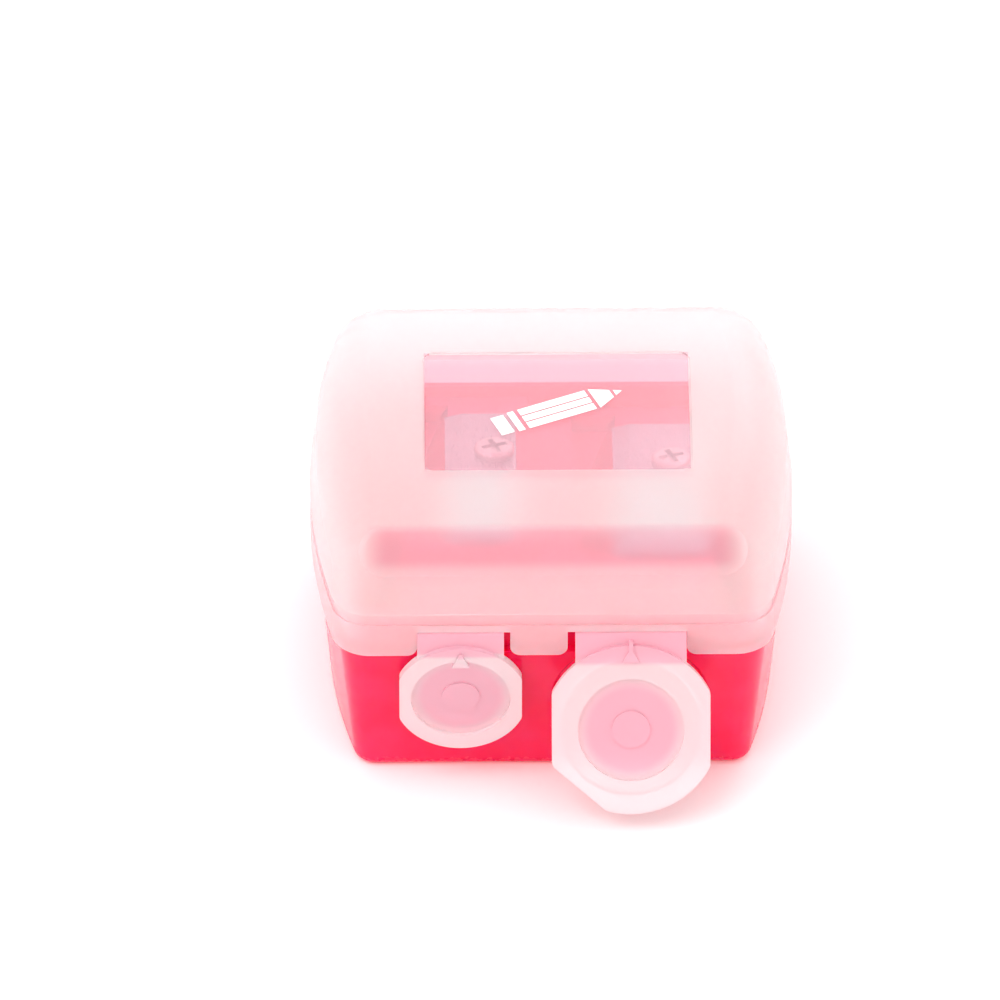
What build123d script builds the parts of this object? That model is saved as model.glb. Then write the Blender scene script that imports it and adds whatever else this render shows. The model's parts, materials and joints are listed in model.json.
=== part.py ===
from build123d import *
import os
from math import cos, radians, sqrt, tan

# Two-hole cosmetic pencil sharpener with a shavings tub, a lift-off lid and two hinged plugs.
# Millimetres. Origin: centre of the footprint, on the surface it stands on.
# +Z up, -Y is the front with the two pencil holes, +X is to the right seen from the front.

# ---- overall form -------------------------------------------------------------------------
WIDTH_CORNER = 36.8        # plan width where the bowed sides meet the front and the back
WIDTH_MIDDLE = 42.0        # plan width half-way back
DEPTH = 36.8
CORNER_R = 3.4
INNER_R = 0.5              # smallest corner radius of the hollows
PARTING_Z = 14.0           # top of the tub's visible wall, where the lid's skirt starts
RIDGE_Z = 18.6             # edge between the lid's skirt and its dome
TOP_Z = 27.0
DRAFT = 4.5                # degrees, all round the tub

# ---- tub ----------------------------------------------------------------------------------
TUB_STEP = 0.5             # the tub's wall sits this far inside the lid's skirt
TUB_WALL = 1.85
FLOOR = 1.4
FOOT_R = 1.1
NECK_INSET = 1.35          # the neck that the lid slides over
NECK_TOP_Z = 16.2
NECK_INNER = TUB_STEP + TUB_WALL
NECK_ROOT = 0.5            # how far the neck starts below the parting line, inside the wall
NECK_CHAMFER = 0.25

# ---- lid ----------------------------------------------------------------------------------
LID_WALL = 1.1
LID_GAP = 0.05             # between the skirt's lower edge and the tub's shoulder
BAND_Z = 17.4              # top of the skirt's proud lower band
BAND_STEP = 0.15
DOME_DRAFT = 6.0
DOME_R = 4.6               # rounding between the dome's sides and its top
DOME_CORNER_R = 8.0        # the plan's corners open out to this at the top of the dome
ARCH_R = 61.0              # the top's curve, front to back
BEVEL_LOW = (-17.2, 23.0)  # Y, Z of the flat front bevel's lower and upper edges
BEVEL_HIGH = (-14.4, 25.3)
WINDOW = (23.3, 16.0)      # clear window: width, depth
WINDOW_CENTRE = (0.5, -0.35)
WINDOW_Z = 26.35
WINDOW_R = 1.2
NOTCH_TOP_Z = 16.65
NOTCH_R = 0.9
NOTCH_SPARE = 0.6          # how far behind the skirt the notches' cut runs
SEAM_X = 14.3              # fine raised line down the skirt, beside the large notch
SEAM = (0.16, 0.1, 0.7)    # its width, how far it is set back from the skirt's face, and its depth

# ---- pencil holes and their hinged caps -----------------------------------------------------
# Radii and lengths of each hole and of the cap that closes it.
# x, z: centre of the bore at the insert's front face. drop: from the hinge down to the hole's centre.
# bore, hole, flare: radii of the insert's bore and the tub's hole, and how far its mouth opens out.
# plug, wall, low, high: plug radius, its wall, and its height next to and away from the hinge.
# plate, width, recess: plate radius, width between its flat sides, radius of its front recess.
# trim: distance from the plate's centre and turn, in degrees, of one more flat on its edge.
# strap, notch: strap width, and the notch in the lid from X to X.
# gusset: Z of the flared rib's top, and of its upper and lower end of the flare, below the hinge.
# rest: angle from vertical at rest.
HINGE_Y = -DEPTH / 2
HINGE_Z = 16.4
HOLE_REACH = 6.0           # from the insert's front face to clear of the tub's front
HOLES = {
    "small": dict(x=-8.0, z=9.95, drop=6.75, bore=4.1, hole=4.3, flare=0.65,
                  plug=4.05, wall=1.0, low=0.26, high=0.66,
                  plate=5.75, width=10.6, recess=4.3, trim=None,
                  strap=7.5, notch=(-11.75, -3.7), gusset=(-1.5, -1.7, -3.0), rest=-1.5),
    "large": dict(x=6.7, z=8.35, drop=8.45, bore=6.0, hole=6.45, flare=0.45,
                  plug=6.1, wall=1.5, low=1.3, high=1.3,
                  plate=7.6, width=13.7, recess=4.6, trim=(6.92, 41.0),
                  strap=9.6, notch=(1.25, 11.55), gusset=(-0.45, -1.3, -2.3), rest=24.0),
}
PLATE = 0.8
PLATE_CORNER_R = 0.9
RECESS = 0.35
RIB_HALF = 0.18            # half the strap rib's width
GUSSET_HALF = 0.75         # half its width at the foot of the flare
GUSSET_PROUD = 0.2         # how far it stands off the plate's front
GATE_R = 1.65
GATE_H = 0.15
GATE_ROOT = 0.1            # how far the gate mark is rooted in the plate
STRAP = 0.4                # thickness where the strap runs into the plate
STRAP_SETBACK = 0.1
STRAP_OVERLAP = 0.3
BEAD_R = 0.2

# ---- insert that carries the blades -----------------------------------------------------------
BORE_TILT = 7.0            # the pencil points up into the tub by this much, in degrees
INSERT_Y = -15.40          # front face of the insert at the height of the bores
FRONT_END_Y = -8.2         # behind the thick front part, which is cut level
PLATE_TOP_Z = 15.6         # of the insert's front plate
INSERT_GAP = 0.15
PLATE_T = 1.8
CONE_END = 31.2            # distance from the insert's front face to the cone's small end
CONE_TIP_R = 1.15
CONE_HALF = 13.0           # degrees
DECK_Z = 1.3               # height of the blade deck above the bore's axis at the cone's end
DECK_GAP = 0.7             # between the front plate's back corner and the blade's front end
SLOT_X = (0.8, 0.3)        # shavings slot: share of the bore's radius, and overlap with the blade's edge
SLOT_Y = (0.6, -1.2)       # its ends, from the blade's start and from the cone's end
SLOT_DEPTH = 2.2
PILOT_TIGHT = 0.1          # the pilot hole's radius is this much less than the screw's
PILOT_SPARE = 0.3
BLOCKS = {"small": (-12.6, -1.8), "large": (-1.8, 14.0)}   # X from the left to the right side
BLOCK_END = 32.0
INSERT_FOOT_Z = FLOOR + 0.05

# ---- blades and screws -----------------------------------------------------------------------
BLADE_T = 0.6
BLADE_L = 19.4
BLADE_START = 8.6
BLADE_EDGE = -1.2          # cutting edge, sideways from the bore's axis
BLADE_W = {"small": 6.2, "large": 8.2}
GRIND = 1.5                # width of the ground bevel along the cutting edge
EDGE_T = 0.08              # thickness left at the cutting edge
BLADE_CORNER_R = 0.8
SCREW_X = {"small": 3.1, "large": 3.9}
SCREW_Y = 20.4
SCREW_R = 0.85
SCREW_L = 4.2
HEAD_R = 1.75
HEAD_H = 1.0
HEAD_ROUND = 0.45
SCREW_POINT = 0.4
SCREW_CLEAR = 0.12         # between the screw and the blade's hole
CROSS = (2.3, 0.5, 0.65)   # cross recess: length and width of each arm, and depth
CROSS_TURN = 20            # degrees

FAR = 60.0                 # larger than any piece
NEAR = 0.01                # positions closer than this are the same
CUT = 1.0                  # how far a cutting solid runs past the face it starts from
UP = (Align.CENTER, Align.CENTER, Align.MIN)   # centred, and standing on the plane


def plan(inset, z=0.0, corner=CORNER_R):
    """Plan outline: straight front and back, bowed sides, round corners."""
    half_w = WIDTH_CORNER / 2 - inset
    mid_w = WIDTH_MIDDLE / 2 - inset
    half_d = DEPTH / 2 - inset
    edges = [
        Line((-half_w, -half_d), (half_w, -half_d)),
        ThreePointArc((half_w, -half_d), (mid_w, 0), (half_w, half_d)),
        Line((half_w, half_d), (-half_w, half_d)),
        ThreePointArc((-half_w, half_d), (-mid_w, 0), (-half_w, -half_d)),
    ]
    outline = make_face(Curve() + edges)
    outline = fillet(outline.vertices(), max(corner - inset, INNER_R))
    return Pos(0, 0, z) * outline


def prism(inset, z_low, z_high):
    return extrude(plan(inset, z_low), amount=z_high - z_low, dir=(0, 0, 1))


def drafted(inset, z_top, z_low):
    """Solid below z_top whose walls lean in by the draft towards z_low."""
    drop = z_top - z_low
    return loft([plan(inset, z_top), plan(inset + drop * tan(radians(DRAFT)), z_low)])


def block(x, y, z):
    """Axis-aligned box from three (low, high) pairs."""
    size = (x[1] - x[0], y[1] - y[0], z[1] - z[0])
    return Pos(x[0], y[0], z[0]) * Box(*size, align=(Align.MIN,) * 3)


def along_y(radius, length, radius_end=None):
    """Cylinder or cone from the origin along +Y."""
    if radius_end is None:
        body = Cylinder(radius, length, align=UP)
    else:
        body = Cone(radius, radius_end, length, align=UP)
    return Rot(-90, 0, 0) * body


def along_x(radius, length):
    return Rot(0, 90, 0) * Cylinder(radius, length)


def bore_frame(hole, x=None):
    """Frame on the insert's front face, at the hole's height: its +Y runs up the tilted bore."""
    return Pos(hole["x"] if x is None else x, INSERT_Y, hole["z"]) * Rot(BORE_TILT, 0, 0)


# ---- tub ----------------------------------------------------------------------------------
def cavity(gap):
    """The tub's hollow, made smaller by gap all round."""
    low = drafted(NECK_INNER + gap, PARTING_Z, FLOOR)
    return low + prism(NECK_INNER + gap, PARTING_Z, TOP_Z)


def make_tub():
    shell = drafted(TUB_STEP, PARTING_Z, 0)
    base = shell.faces().sort_by(Axis.Z)[0]
    shell = fillet(base.edges(), FOOT_R)
    neck = prism(NECK_INSET, PARTING_Z - NECK_ROOT, NECK_TOP_Z)
    rim = neck.faces().sort_by(Axis.Z)[-1]
    neck = chamfer(rim.edges(), NECK_CHAMFER)
    tub = shell + neck - cavity(0)
    for hole in HOLES.values():
        tub -= bore_frame(hole) * Pos(0, -HOLE_REACH, 0) * along_y(hole["hole"], HOLE_REACH + PLATE_T)
        # the mouth opens out at 45 degrees, from the wall's face
        depth = CUT + hole["flare"]
        mouth = along_y(hole["hole"] + depth, depth, hole["hole"])
        wall_y = -DEPTH / 2 + TUB_STEP + (PARTING_Z - hole["z"]) * tan(radians(DRAFT))
        tub -= Pos(hole["x"], wall_y - CUT, hole["z"]) * Rot(BORE_TILT, 0, 0) * mouth
    return tub


# ---- insert -------------------------------------------------------------------------------
def deck_height(y):
    """Height of the blade deck above the bore's axis, in the bore frame."""
    return DECK_Z + (CONE_END - y) * tan(radians(CONE_HALF))


def blade_frame(hole):
    """Frame on the blade deck at the cone's end: +Y runs along the deck to the back."""
    return bore_frame(hole) * Pos(0, CONE_END, DECK_Z) * Rot(-CONE_HALF, 0, 0)


def deck_y(y):
    """Distance along the deck, from the cone's end, of a point at y in the bore frame."""
    return (y - CONE_END) / cos(radians(CONE_HALF))


def make_insert():
    body = bore_frame(HOLES["large"], 0) * block((-FAR, FAR), (0, PLATE_T), (-FAR, FAR))
    step = BLADE_START - DECK_GAP
    for name, hole in HOLES.items():
        left, right = BLOCKS[name]
        profile = Polyline((0, -FAR), (BLOCK_END, -FAR), (BLOCK_END, deck_height(BLOCK_END)),
                           (step, deck_height(step)), (step, FAR), (0, FAR), close=True)
        side = Plane.YZ.offset(left) * make_face(profile)
        body += bore_frame(hole, 0) * extrude(side, amount=right - left, dir=(1, 0, 0))
    body -= block((-FAR, FAR), (-FAR, FRONT_END_Y), (PLATE_TOP_Z, 2 * FAR))
    body = body & (cavity(INSERT_GAP) & block((-FAR, FAR), (-FAR, FAR), (INSERT_FOOT_Z, FAR)))
    for name, hole in HOLES.items():
        bore = hole["bore"]
        cone_length = (bore - CONE_TIP_R) / tan(radians(CONE_HALF))
        cone_start = CONE_END - cone_length
        body -= bore_frame(hole) * Pos(0, -CUT, 0) * along_y(bore, cone_start + CUT)
        body -= bore_frame(hole) * Pos(0, cone_start, 0) * along_y(bore, cone_length, CONE_TIP_R)
        # slot beside the cutting edge, where the shavings come out
        slot = block((-bore * SLOT_X[0], BLADE_EDGE + SLOT_X[1]),
                     (deck_y(BLADE_START) + SLOT_Y[0], SLOT_Y[1]), (-SLOT_DEPTH, CUT))
        body -= blade_frame(hole) * slot
        # pilot hole for the blade's screw
        depth = SCREW_L + PILOT_SPARE
        pilot = Pos(SCREW_X[name], deck_y(SCREW_Y), -depth)
        drill = Cylinder(SCREW_R - PILOT_TIGHT, depth + CUT, align=UP)
        body -= blade_frame(hole) * pilot * drill
    return body


# ---- blades and screws --------------------------------------------------------------------
def make_blade(name):
    width = BLADE_W[name]
    start = deck_y(BLADE_START)
    end = start + BLADE_L
    section = Polyline((BLADE_EDGE, 0), (BLADE_EDGE + width, 0), (BLADE_EDGE + width, BLADE_T),
                       (BLADE_EDGE + GRIND, BLADE_T), (BLADE_EDGE, EDGE_T), close=True)
    face = Pos(0, end, 0) * (Rot(90, 0, 0) * make_face(section))
    body = extrude(face, amount=BLADE_L, dir=(0, -1, 0))
    upright = body.edges().filter_by(Axis.Z).sort_by(Axis.X)[-2:]
    body = fillet(upright, BLADE_CORNER_R)
    body -= Pos(SCREW_X[name], deck_y(SCREW_Y), 0) * Cylinder(SCREW_R + SCREW_CLEAR, 4 * BLADE_T)
    return blade_frame(HOLES[name]) * body


def make_screw(name):
    head = Pos(0, 0, BLADE_T) * Cylinder(HEAD_R, HEAD_H, align=UP)
    head = fillet(head.edges().sort_by(Axis.Z)[-1], HEAD_ROUND)
    shank = Pos(0, 0, -SCREW_L) * Cylinder(SCREW_R, SCREW_L + BLADE_T, align=UP)
    shank = chamfer(shank.edges().sort_by(Axis.Z)[0], SCREW_POINT)
    screw = head + shank
    length, width, depth = CROSS
    arm = Pos(0, 0, BLADE_T + HEAD_H - depth) * Box(length, width, depth + CUT, align=UP)
    for angle in (CROSS_TURN, CROSS_TURN + 90):
        screw -= Rot(0, 0, angle) * arm
    return blade_frame(HOLES[name]) * Pos(SCREW_X[name], deck_y(SCREW_Y), 0) * screw


# ---- lid ----------------------------------------------------------------------------------
def dome(inset):
    """The lid's domed top; inset makes the smaller solid that hollows it."""
    height = TOP_Z + CUT - RIDGE_Z
    lean = height * tan(radians(DOME_DRAFT))
    crown_plan = plan(inset + lean, RIDGE_Z + height, DOME_CORNER_R)
    body = loft([plan(inset, RIDGE_Z), crown_plan])
    arch = Pos(0, 0, TOP_Z - ARCH_R) * along_x(ARCH_R - inset, FAR)
    body = body & arch
    crown = max(body.faces(), key=lambda f: f.center().Z)
    body = fillet(crown.edges(), DOME_R - inset)
    y0, z0 = BEVEL_LOW
    y1, z1 = BEVEL_HIGH
    slope = Vector(0, y1 - y0, z1 - z0).normalized()
    outward = Vector(0, -slope.Z, slope.Y)
    origin = Vector(0, y0, z0) - outward * inset
    return body - Plane(origin=origin, x_dir=(1, 0, 0), z_dir=outward) * Box(FAR, FAR, FAR, align=UP)


def is_notch_corner(point, low, high, back):
    """Whether an edge's middle is on the skirt's lower rim, at a side of the notch from low to high."""
    on_side = min(abs(point.X - low), abs(point.X - high)) < NEAR
    return on_side and point.Y < back and abs(point.Z - PARTING_Z - LID_GAP) < NEAR


def make_lid():
    outer = prism(0, PARTING_Z + LID_GAP, BAND_Z)
    outer += prism(BAND_STEP, BAND_Z, RIDGE_Z)
    outer += dome(0)
    hollow = prism(LID_WALL, PARTING_Z, RIDGE_Z) + dome(LID_WALL)
    lid = outer - hollow
    for hole in HOLES.values():
        low, high = hole["notch"]
        back = -DEPTH / 2 + LID_WALL + NOTCH_SPARE
        lid -= block((low, high), (-FAR, back), (PARTING_Z - CUT, NOTCH_TOP_Z))
        corners = [e for e in lid.edges().filter_by(Axis.Y) if is_notch_corner(e.center(), low, high, back)]
        lid = fillet(corners, NOTCH_R)
    width, setback, depth = SEAM
    front = -DEPTH / 2 + setback
    lid += block((SEAM_X - width / 2, SEAM_X + width / 2), (front, front + depth),
                 (PARTING_Z + LID_GAP, BAND_Z))
    window = extrude(RectangleRounded(*WINDOW, WINDOW_R), amount=CUT)
    lid -= Pos(*WINDOW_CENTRE, WINDOW_Z) * window
    return lid


# ---- hinged caps --------------------------------------------------------------------------
def cap_plate(hole):
    """Round plate with its two sides cut straight, and perhaps one lower corner."""
    disc = Circle(hole["plate"]) & Rectangle(hole["width"], 2 * hole["plate"])
    if hole["trim"]:
        distance, turn = hole["trim"]
        cut = Pos(0, -distance) * Rectangle(FAR, FAR, align=(Align.CENTER, Align.MAX))
        disc -= Rot(0, 0, -turn) * cut
    disc = fillet(disc.vertices(), PLATE_CORNER_R)
    return Pos(0, 0, -hole["drop"]) * (Rot(90, 0, 0) * disc)


def make_cap(hole):
    """Cap in its closed pose with the hinge axis at the origin, then swung to its rest angle."""
    z = -hole["drop"]
    plate = extrude(cap_plate(hole), amount=PLATE, dir=(0, -1, 0))
    radius = hole["plug"]
    plug = Pos(0, 0, z) * along_y(radius, hole["high"] + CUT)
    plug -= Pos(0, -CUT, z) * along_y(radius - hole["wall"], hole["high"] + 3 * CUT)
    # the plug's free end is cut on a slant, lower next to the hinge
    rise = (hole["high"] - hole["low"]) / (2 * radius)
    top, bottom = z + radius + CUT, z - radius - CUT
    end_cut = Polyline((hole["low"] - CUT * rise, top), (FAR, top), (FAR, bottom),
                       (hole["high"] + CUT * rise, bottom), close=True)
    plug -= extrude(Plane.YZ.offset(-FAR / 2) * make_face(end_cut), amount=FAR, dir=(1, 0, 0))
    cap = plate + plug
    cap -= Pos(0, -PLATE - CUT, z) * along_y(hole["recess"], CUT + RECESS)
    cap += Pos(0, -PLATE + RECESS - GATE_H, z) * along_y(GATE_R, GATE_H + GATE_ROOT)
    # the strap runs into the thickness of the plate, down to where it is as wide as the plate's edge
    half = hole["strap"] / 2
    reach = z + sqrt(hole["plate"] ** 2 - half**2) - STRAP_OVERLAP
    strap_side = Polyline((BEAD_R, 0), (-BEAD_R, 0), (-STRAP - STRAP_SETBACK, reach),
                          (-STRAP_SETBACK, reach), close=True)
    strap = extrude(Plane.YZ.offset(-half) * make_face(strap_side),
                    amount=hole["strap"], dir=(1, 0, 0))
    cap += strap + along_x(BEAD_R, hole["strap"])
    top, flare, foot = hole["gusset"]
    outline = Polyline((-RIB_HALF, top), (RIB_HALF, top), (RIB_HALF, flare), (GUSSET_HALF, foot),
                       (-GUSSET_HALF, foot), (-RIB_HALF, flare), close=True)
    gusset = Pos(0, -STRAP / 2, 0) * (Rot(90, 0, 0) * make_face(outline))
    cap += extrude(gusset, amount=PLATE + GUSSET_PROUD - STRAP / 2, dir=(0, -1, 0))
    swing = hole["rest"]
    return Pos(hole["x"], HINGE_Y, HINGE_Z) * Rot(-swing, 0, 0) * cap


NODES = {
    "tub": make_tub(),
    "insert": make_insert(),
    "small_blade": make_blade("small"),
    "large_blade": make_blade("large"),
    "small_blade_screw": make_screw("small"),
    "large_blade_screw": make_screw("large"),
    "lid": make_lid(),
    "small_cap": make_cap(HOLES["small"]),
    "large_cap": make_cap(HOLES["large"]),
}

os.makedirs("parts", exist_ok=True)
for node, shape in NODES.items():
    export_step(shape, f"parts/{node}.step")
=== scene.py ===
import json
import math

import bmesh
import bpy
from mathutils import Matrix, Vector


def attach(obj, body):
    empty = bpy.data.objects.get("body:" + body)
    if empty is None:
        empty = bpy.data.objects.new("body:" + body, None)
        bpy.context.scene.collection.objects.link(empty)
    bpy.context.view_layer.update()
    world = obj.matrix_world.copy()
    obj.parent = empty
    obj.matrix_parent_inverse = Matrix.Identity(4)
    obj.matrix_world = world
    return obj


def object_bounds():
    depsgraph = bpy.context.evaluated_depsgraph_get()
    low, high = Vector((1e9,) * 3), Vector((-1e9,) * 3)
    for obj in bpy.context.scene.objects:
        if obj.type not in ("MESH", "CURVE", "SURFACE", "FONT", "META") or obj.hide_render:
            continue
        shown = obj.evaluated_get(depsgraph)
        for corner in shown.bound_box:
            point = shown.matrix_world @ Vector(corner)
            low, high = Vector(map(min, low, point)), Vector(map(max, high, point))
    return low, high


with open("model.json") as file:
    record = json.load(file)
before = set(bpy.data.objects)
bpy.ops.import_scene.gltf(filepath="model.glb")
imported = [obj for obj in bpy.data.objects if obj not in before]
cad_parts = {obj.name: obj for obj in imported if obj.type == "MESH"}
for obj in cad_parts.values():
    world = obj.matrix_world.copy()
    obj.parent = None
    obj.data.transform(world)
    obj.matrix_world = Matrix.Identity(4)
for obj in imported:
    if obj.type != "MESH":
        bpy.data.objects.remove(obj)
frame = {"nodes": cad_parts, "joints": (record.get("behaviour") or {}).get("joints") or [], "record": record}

MM = 0.001
cad_low, cad_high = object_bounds()
nodes = frame["nodes"]

# ---- colours, linear RGB ------------------------------------------------------------------
RED_GLOSS = (1.0, 0.004, 0.070)
RED_GLOSS_DULL = (0.98, 0.012, 0.095)
RED_SATIN = (0.97, 0.016, 0.100)
RED_SATIN_DULL = (0.93, 0.045, 0.150)
FROST = (1.0, 0.948, 0.955)
PAINTED_SEE_THROUGH_RED = (1.0, 0.640, 0.730)        # painted see-through red: the pink that the red parts behind give the thinner, polished places, put into the base colour
CAP_WHITE = (1.0, 0.895, 0.915)
# painted see-through red of the straps and plug floors, standing for the red parts behind them
CAP_PAINTED_SEE_THROUGH_RED = (1.0, 0.610, 0.720)
STEEL = (0.40, 0.40, 0.42)
STEEL_LIGHT = (0.52, 0.52, 0.53)
ZINC = (0.55, 0.56, 0.55)
ZINC_LIGHT = (0.70, 0.70, 0.66)
INK = (0.96, 0.95, 0.945)
PAPER = (0.93, 0.93, 0.93)

# ---- tub and insert, in mm ----------------------------------------------------------------
RUBBED = (2.2, 0.2)        # the foot gets rougher from the first height down to the second
RUBBED_ROUGHNESS = 0.45
GLOSS_GLOW = (4.0, 0.3, 0.6)       # how far red, green and blue light spreads in the tub
SATIN_GLOW = (4.0, 0.4, 0.8)       # and in the insert

# ---- places on the lid and caps, in mm ----------------------------------------------------
WINDOW_CENTRE = (0.5, -0.35)
WINDOW = (23.3, 16.0)
WINDOW_FLOOR = 26.35
WINDOW_RIM = 0.15          # frosted border along the window's edge
WINDOW_SOFT = 0.06         # how softly the polish ends at that border
WINDOW_STEP = (24.3, 24.6)         # the polish is only above these heights
WINDOW_ROUGHNESS = 0.05
BEVEL_Y = (-17.1, -14.5)   # front bevel, front to back
BEVEL_HALF = 15.4
BEVEL_SOFT = (1.2, 0.5)    # across, and front to back
BEVEL_STEP = (20.5, 21.5)          # the bevel is only above these heights
BEVEL_ROUGHNESS = 0.3
BAND_STEP = (18.7, 17.3)   # the lower band gets pinker from the first height down to the second: painted see-through red of the tub behind it
BAND_PAINTED_RED = 0.3
HINGES = {joint["child"]: [place / MM for place in joint["pos_m"]]
          for joint in frame["joints"] if joint["type"] == "hinge"}
# plug floors with painted see-through red: drop below the hinge, angle at rest in degrees, radius
CAP_FLOORS = {"small_plug": (6.75, -1.5, 4.3), "large_plug": (8.45, 24.0, 4.6)}
FLOOR_FADE = (0.3, -1.2)   # the floor's painted see-through red fades in between these distances from its edge
STRAP_STEP = (14.2, 14.8)  # the straps are thin above these heights, and get painted see-through red there
STRAP_PAINTED_RED = 1.25          # the mix stops at 1, so the painted red is full before the step ends

# ---- camera -------------------------------------------------------------------------------
ELEVATION = 40.0
AZIMUTH = -0.5
DISTANCE = 1.3
LENS = 536.0
SENSOR = 36.0
AIM = Vector((-4.43 * MM, 0.0, 13.5 * MM))
AIM_UP = 2.0 * MM


# ---- material helpers ---------------------------------------------------------------------
class Finish:
    """A material around one Principled shader, with short calls for the nodes used here."""

    def __init__(self, name, colour, roughness, **sockets):
        self.material = bpy.data.materials.new(name)
        self.material.use_nodes = True
        self.tree = self.material.node_tree
        self.shader = self.tree.nodes["Principled BSDF"]
        self.shader.inputs["Base Color"].default_value = (*colour, 1.0)
        self.shader.inputs["Roughness"].default_value = roughness
        for socket, value in sockets.items():
            self.shader.inputs[socket.replace("_", " ")].default_value = value
        coordinate = self.tree.nodes.new("ShaderNodeTexCoord").outputs["Object"]
        scaled = self.node("ShaderNodeVectorMath", operation="SCALE")
        self.link(coordinate, scaled.inputs[0])
        scaled.inputs["Scale"].default_value = 1 / MM
        self.place = scaled.outputs[0]
        self.surface_height = None

    def glow(self, radii):
        """Light that spreads under the surface, by these distances in mm for red, green and blue."""
        self.shader.inputs["Subsurface Weight"].default_value = 1.0
        self.shader.inputs["Subsurface Radius"].default_value = radii
        self.shader.inputs["Subsurface Scale"].default_value = MM

    def node(self, kind, **settings):
        made = self.tree.nodes.new(kind)
        for key, value in settings.items():
            setattr(made, key, value)
        return made

    def link(self, source, target):
        self.tree.links.new(source, target)

    def maths(self, operation, first, second=0.0):
        """One arithmetic step on numbers or sockets."""
        made = self.node("ShaderNodeMath", operation=operation)
        for socket, value in zip(made.inputs, (first, second)):
            if isinstance(value, (int, float)):
                socket.default_value = value
            else:
                self.link(value, socket)
        return made.outputs[0]

    def axis(self, name):
        split = self.node("ShaderNodeSeparateXYZ")
        self.link(self.place, split.inputs[0])
        return split.outputs[name]

    def noise(self, cells, detail=3.0, stretch=(1.0, 1.0, 1.0), roughness=0.55):
        """Noise with this many cells per mm."""
        mapping = self.node("ShaderNodeMapping")
        mapping.inputs["Scale"].default_value = stretch
        self.link(self.place, mapping.inputs["Vector"])
        made = self.node("ShaderNodeTexNoise")
        made.inputs["Scale"].default_value = cells
        made.inputs["Detail"].default_value = detail
        made.inputs["Roughness"].default_value = roughness
        self.link(mapping.outputs[0], made.inputs["Vector"])
        return made.outputs["Fac"]

    def scratches(self, cells, stretch, width):
        """Thin lines along the axis with the smallest stretch: 1 on a scratch, 0 elsewhere."""
        middle = 0.5
        hills = self.noise(cells, detail=2.0, stretch=stretch, roughness=0.5)
        away = self.maths("ABSOLUTE", self.maths("SUBTRACT", hills, middle))
        return self.between(away, width, 0.0)

    def patches(self, cells, edges, values, detail=3.0):
        """Noise with this many cells per mm that drifts between two values, stepped at these edges."""
        return self.between(self.noise(cells, detail), *edges, *values)

    def between(self, value, low, high, out_low=0.0, out_high=1.0):
        """Smooth step of value from low to high, mapped to out_low and out_high."""
        made = self.node("ShaderNodeMapRange", interpolation_type="SMOOTHSTEP")
        self.link(value, made.inputs["Value"])
        limits = (low, high, out_low, out_high)
        if low > high:
            limits = (high, low, out_high, out_low)
        for socket, limit in zip(("From Min", "From Max", "To Min", "To Max"), limits):
            made.inputs[socket].default_value = limit
        return made.outputs[0]

    def near(self, place, radius):
        """1 well within this many mm of a place, fading to 0 just outside."""
        made = self.node("ShaderNodeVectorMath", operation="DISTANCE")
        self.link(self.place, made.inputs[0])
        made.inputs[1].default_value = place
        outer, inner = FLOOR_FADE
        return self.between(made.outputs["Value"], radius + outer, radius + inner)

    def inside(self, name, low, high, soft):
        """1 where the coordinate on this axis lies from low to high, with soft edges."""
        along = self.axis(name)
        rise = self.between(along, low - soft, low + soft)
        fall = self.between(along, high + soft, high - soft)
        return self.maths("MULTIPLY", rise, fall)

    def mix(self, share, first, second):
        """first where share is 0, second where it is 1: numbers or sockets."""
        made = self.node("ShaderNodeMix", data_type="FLOAT")
        for socket, value in ((0, share), (2, first), (3, second)):
            if isinstance(value, (int, float)):
                made.inputs[socket].default_value = value
            else:
                self.link(value, made.inputs[socket])
        return made.outputs[0]

    def tint(self, share, first, second):
        """Base colour between two colours, by the share of the second."""
        made = self.node("ShaderNodeMix", data_type="RGBA")
        self.link(share, made.inputs[0])
        made.inputs[6].default_value = (*first, 1.0)
        made.inputs[7].default_value = (*second, 1.0)
        self.link(made.outputs[2], self.shader.inputs["Base Color"])

    def rough(self, value):
        self.link(value, self.shader.inputs["Roughness"])

    def relief(self, height, depth):
        """Bump of this depth in mm, on top of any earlier one."""
        made = self.node("ShaderNodeBump")
        made.inputs["Distance"].default_value = depth * MM
        self.link(height, made.inputs["Height"])
        if self.surface_height is not None:
            self.link(self.surface_height, made.inputs["Normal"])
        self.surface_height = made.outputs[0]
        self.link(self.surface_height, self.shader.inputs["Normal"])


def tub_plastic():
    """Glossy red, with faint haze and hairline scratches, rubbed along the foot."""
    made = Finish("tub_plastic", RED_GLOSS, 0.16, IOR=1.5, Specular_IOR_Level=0.3)
    made.glow(GLOSS_GLOW)
    made.tint(made.between(made.noise(cells=0.16, detail=2.0), 0.35, 0.7), RED_GLOSS, RED_GLOSS_DULL)
    haze = made.patches(cells=0.5, edges=(0.3, 0.8), values=(0.13, 0.22), detail=4.0)
    foot = made.between(made.axis("Z"), *RUBBED)
    rubbed = made.maths("MULTIPLY", foot, made.noise(cells=2.0))
    made.rough(made.mix(rubbed, haze, RUBBED_ROUGHNESS))
    made.relief(made.scratches(cells=0.5, stretch=(0.15, 1.0, 3.0), width=0.006), depth=0.004)
    made.relief(made.noise(cells=0.9, detail=2.0), depth=0.006)
    return made.material


def insert_plastic():
    """Satin red of the block inside."""
    made = Finish("insert_plastic", RED_SATIN, 0.35, IOR=1.48)
    made.glow(SATIN_GLOW)
    made.tint(made.noise(cells=0.3, detail=2.0), RED_SATIN, RED_SATIN_DULL)
    made.rough(made.patches(cells=1.2, edges=(0.3, 0.7), values=(0.28, 0.42)))
    made.relief(made.noise(cells=3.0), depth=0.008)
    return made.material


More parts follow.
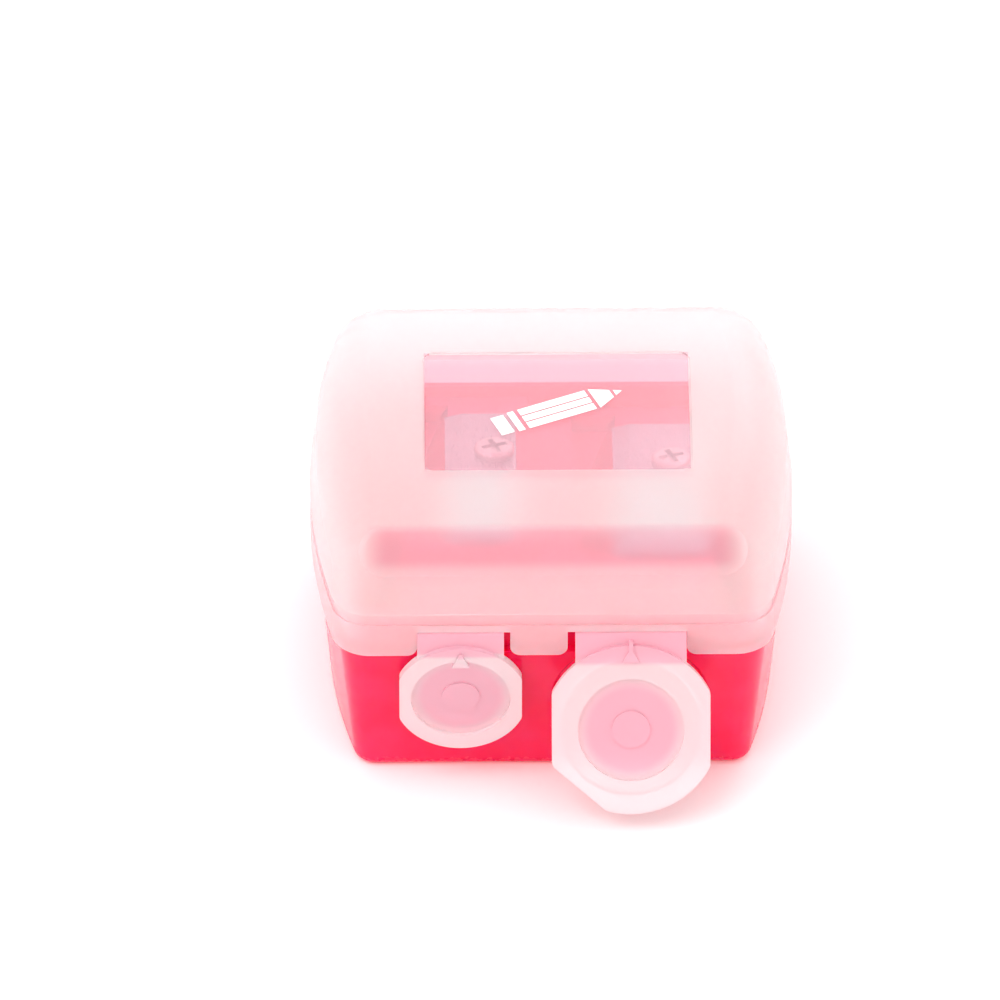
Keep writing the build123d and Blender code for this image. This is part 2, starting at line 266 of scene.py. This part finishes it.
def lid_plastic():
    """Frosted polypropylene, polished at the window and half polished along the front bevel, with painted
    see-through red on the window, the front bevel and the lower band.
    """
    made = Finish("lid_plastic", FROST, 0.4, IOR=1.25, Transmission_Weight=0.74,
                  Coat_Weight=0.5, Coat_Roughness=0.2)
    middle_x, middle_y = WINDOW_CENTRE
    half_x, half_y = WINDOW[0] / 2 - WINDOW_RIM, WINDOW[1] / 2 - WINDOW_RIM
    across = made.inside("X", middle_x - half_x, middle_x + half_x, WINDOW_SOFT)
    back = made.inside("Y", middle_y - half_y, middle_y + half_y, WINDOW_SOFT)
    top = made.between(made.axis("Z"), *WINDOW_STEP)
    window = made.maths("MULTIPLY", made.maths("MULTIPLY", across, back), top)
    soft_across, soft_back = BEVEL_SOFT
    across = made.inside("X", -BEVEL_HALF, BEVEL_HALF, soft_across)
    back = made.inside("Y", *BEVEL_Y, soft_back)
    front = made.between(made.axis("Z"), *BEVEL_STEP)
    bevel = made.maths("MULTIPLY", made.maths("MULTIPLY", back, across), front)
    band = made.between(made.axis("Z"), *BAND_STEP, 0.0, BAND_PAINTED_RED)
    # the window, the bevel and the band get painted see-through red in their base colour, standing for the
    # red parts behind them
    made.tint(made.maths("MAXIMUM", made.maths("MAXIMUM", window, bevel), band), FROST, PAINTED_SEE_THROUGH_RED)
    frost = made.patches(cells=0.7, edges=(0.3, 0.75), values=(0.56, 0.64), detail=4.0)
    softened = made.mix(bevel, frost, BEVEL_ROUGHNESS)
    made.rough(made.mix(window, softened, WINDOW_ROUGHNESS))
    grain = made.maths("MULTIPLY", made.noise(cells=6.0), made.maths("SUBTRACT", 1.0, window))
    made.relief(grain, depth=0.003)
    return made.material


def cap_plastic():
    """Smoother translucent polypropylene of the straps and plugs, with painted see-through red on the straps
    and the plug floors.
    """
    made = Finish("cap_plastic", CAP_WHITE, 0.3, IOR=1.3, Transmission_Weight=0.55,
                  Coat_Weight=0.4, Coat_Roughness=0.1)
    # painted see-through red: the share of the red behind, put into the base colour of the straps and plug
    # floors
    painted_red = made.between(made.axis("Z"), *STRAP_STEP, 0.0, STRAP_PAINTED_RED)
    for plug, (drop, angle, radius) in CAP_FLOORS.items():
        x, y, z = HINGES[plug]
        swing = math.radians(angle)
        centre = (x, y - drop * math.sin(swing), z - drop * math.cos(swing))
        painted_red = made.maths("MAXIMUM", painted_red, made.near(centre, radius))
    made.tint(painted_red, CAP_WHITE, CAP_PAINTED_SEE_THROUGH_RED)
    made.rough(made.patches(cells=0.9, edges=(0.3, 0.75), values=(0.34, 0.44), detail=4.0))
    return made.material


def blade_steel():
    """Ground strip: fine lines along the blade's length."""
    made = Finish("blade_steel", STEEL, 0.3, Metallic=1.0)
    lines = made.noise(cells=5.0, stretch=(6.0, 0.25, 0.25))
    made.tint(lines, STEEL, STEEL_LIGHT)
    made.rough(made.between(lines, 0.3, 0.7, 0.22, 0.38))
    made.relief(lines, depth=0.006)
    return made.material


def screw_steel():
    """Zinc plating with small lighter patches."""
    made = Finish("screw_steel", ZINC, 0.3, Metallic=1.0)
    made.tint(made.noise(cells=1.6), ZINC, ZINC_LIGHT)
    made.rough(made.patches(cells=4.0, edges=(0.3, 0.7), values=(0.25, 0.42)))
    made.relief(made.noise(cells=7.0, detail=2.0), depth=0.005)
    return made.material


def printing_ink():
    """Matt white ink."""
    made = Finish("printing_ink", INK, 0.5)
    made.rough(made.patches(cells=2.0, edges=(0.3, 0.7), values=(0.42, 0.58)))
    made.relief(made.noise(cells=9.0, detail=2.0), depth=0.003)
    return made.material


def paint_nodes():
    """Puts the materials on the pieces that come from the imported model."""
    finishes = {
        "tub_plastic": tub_plastic(),
        "insert_plastic": insert_plastic(),
        "lid_plastic": lid_plastic(),
        "cap_plastic": cap_plastic(),
        "blade_steel": blade_steel(),
        "screw_steel": screw_steel(),
    }
    for subpart in frame["record"]["subparts"]:
        piece = nodes[subpart["node"]]
        piece.data.materials.clear()
        piece.data.materials.append(finishes[subpart["material_slot"]])


# ---- print on the window, in mm -----------------------------------------------------------
INK_T = 0.03
PENCIL_HALF = 1.35         # half the pictogram's width
PENCIL_STRIPES = 3
PENCIL_BODY = (-3.4, 3.0)
PENCIL_BAND = (-4.4, -3.8)
PENCIL_RUBBER = (-6.0, -4.8)
PENCIL_TIP = 6.0
STRIPE_GAP = 0.16
WOOD_GAP = 0.35            # between the body and the wood
LEAD_GAP = 0.3             # between the wood and the lead
WOOD_SHARE = 0.62          # how much of the cone is wood
RUBBER_SHARE = 0.92        # the rubber's width, as a share of the body's
PENCIL_SHIFT = (0.2, 0.4)  # from the window's centre
PENCIL_LIFT = 0.01         # clear of the window
PENCIL_TURN = math.radians(24)


def slab(mesh, outline, low, high):
    """Closed flat piece between two heights, from an outline in the pictogram's plane."""
    bottom = [mesh.verts.new((x, y, low)) for x, y in outline]
    top = [mesh.verts.new((x, y, high)) for x, y in outline]
    mesh.faces.new(list(reversed(bottom)))
    mesh.faces.new(top)
    count = len(outline)
    for i in range(count):
        j = (i + 1) % count
        mesh.faces.new((bottom[i], bottom[j], top[j], top[i]))


def bar(x_low, x_high, y_low, y_high):
    """Corners of a rectangle, in order."""
    return [(x_low, y_low), (x_high, y_low), (x_high, y_high), (x_low, y_high)]


def printed_pencil():
    """A generic pencil pictogram in white ink, lying on the window."""
    mesh = bmesh.new()
    half = PENCIL_HALF
    stripe = 2 * half / PENCIL_STRIPES
    last = PENCIL_STRIPES - 1
    for row in range(PENCIL_STRIPES):
        low = -half + row * stripe + (STRIPE_GAP / 2 if row else 0)
        high = -half + (row + 1) * stripe - (STRIPE_GAP / 2 if row < last else 0)
        slab(mesh, bar(*PENCIL_BODY, low, high), 0, INK_T)
    neck = PENCIL_BODY[1] + WOOD_GAP
    wood_end = neck + (PENCIL_TIP - neck) * WOOD_SHARE
    wood_half = half * (1 - WOOD_SHARE)
    slab(mesh, [(neck, -half), (wood_end, -wood_half), (wood_end, wood_half), (neck, half)], 0, INK_T)
    point = wood_end + LEAD_GAP
    point_half = wood_half * (PENCIL_TIP - point) / (PENCIL_TIP - wood_end)
    slab(mesh, [(point, -point_half), (PENCIL_TIP, 0), (point, point_half)], 0, INK_T)
    slab(mesh, bar(*PENCIL_BAND, -half, half), 0, INK_T)
    slab(mesh, bar(*PENCIL_RUBBER, -half * RUBBER_SHARE, half * RUBBER_SHARE), 0, INK_T)
    cosine, sine = math.cos(PENCIL_TURN), math.sin(PENCIL_TURN)
    for vertex in mesh.verts:
        x, y, z = vertex.co
        vertex.co = Vector((WINDOW_CENTRE[0] + PENCIL_SHIFT[0] + x * cosine - y * sine,
                            WINDOW_CENTRE[1] + PENCIL_SHIFT[1] + x * sine + y * cosine,
                            WINDOW_FLOOR + PENCIL_LIFT + z)) * MM
    data = bpy.data.meshes.new("printed_pencil")
    mesh.to_mesh(data)
    mesh.free()
    piece = bpy.data.objects.new("printed_pencil", data)
    bpy.context.scene.collection.objects.link(piece)
    data.materials.append(printing_ink())
    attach(piece, "cover")


# ---- floor, light and camera, in metres ---------------------------------------------------
FLOOR_HALF = 2.0
PAPER_ROUGHNESS = 0.6
PAPER_SPECULAR = 0.2
LAMP_SIZE = 0.30
LAMPS = {"key": ((-0.25, -0.20, 0.45), 0.8), "back": ((0.15, 0.35, 0.40), 0.4)}   # place, watts
WORLD = 1.3
BOUNCES = 32               # light crosses the frosted walls many times before it leaves them


def make_floor():
    mesh = bmesh.new()
    corners = [(-1, -1), (1, -1), (1, 1), (-1, 1)]
    mesh.faces.new([mesh.verts.new((x * FLOOR_HALF, y * FLOOR_HALF, cad_low.z)) for x, y in corners])
    data = bpy.data.meshes.new("floor")
    mesh.to_mesh(data)
    mesh.free()
    floor = bpy.data.objects.new("floor", data)
    bpy.context.scene.collection.objects.link(floor)
    paper = Finish("floor_paper", PAPER, PAPER_ROUGHNESS, Specular_IOR_Level=PAPER_SPECULAR)
    data.materials.append(paper.material)


def area_light(name, place, energy):
    """Square lamp at this place, turned to the object."""
    data = bpy.data.lights.new(name, "AREA")
    data.shape = "SQUARE"
    data.size = LAMP_SIZE
    data.energy = energy
    lamp = bpy.data.objects.new(name, data)
    bpy.context.scene.collection.objects.link(lamp)
    lamp.location = place
    lamp.rotation_euler = (-Vector(place)).to_track_quat("-Z", "Y").to_euler()


def make_light():
    world = bpy.data.worlds.new("studio")
    world.use_nodes = True
    background = world.node_tree.nodes["Background"]
    background.inputs["Color"].default_value = (1, 1, 1, 1)
    background.inputs["Strength"].default_value = WORLD
    bpy.context.scene.world = world
    for name, (place, energy) in LAMPS.items():
        area_light(name, place, energy)
    bpy.context.scene.view_settings.view_transform = "Standard"
    cycles = bpy.context.scene.cycles
    cycles.max_bounces = BOUNCES
    cycles.transmission_bounces = BOUNCES
    cycles.diffuse_bounces = BOUNCES
    cycles.glossy_bounces = BOUNCES


def make_camera():
    """Long lens, in front of the object and above it."""
    elevation, azimuth = math.radians(ELEVATION), math.radians(AZIMUTH)
    back = Vector((math.sin(azimuth) * math.cos(elevation),
                   -math.cos(azimuth) * math.cos(elevation), math.sin(elevation)))
    turn = (-back).to_track_quat("-Z", "Y")
    up = turn @ Vector((0, 1, 0))
    data = bpy.data.cameras.new("camera")
    data.lens = LENS
    data.sensor_width = SENSOR
    camera = bpy.data.objects.new("camera", data)
    bpy.context.scene.collection.objects.link(camera)
    camera.rotation_mode = "QUATERNION"
    camera.rotation_quaternion = turn
    camera.location = AIM + up * AIM_UP + back * DISTANCE
    bpy.context.scene.camera = camera


make_camera()
paint_nodes()
printed_pencil()
make_floor()
make_light()
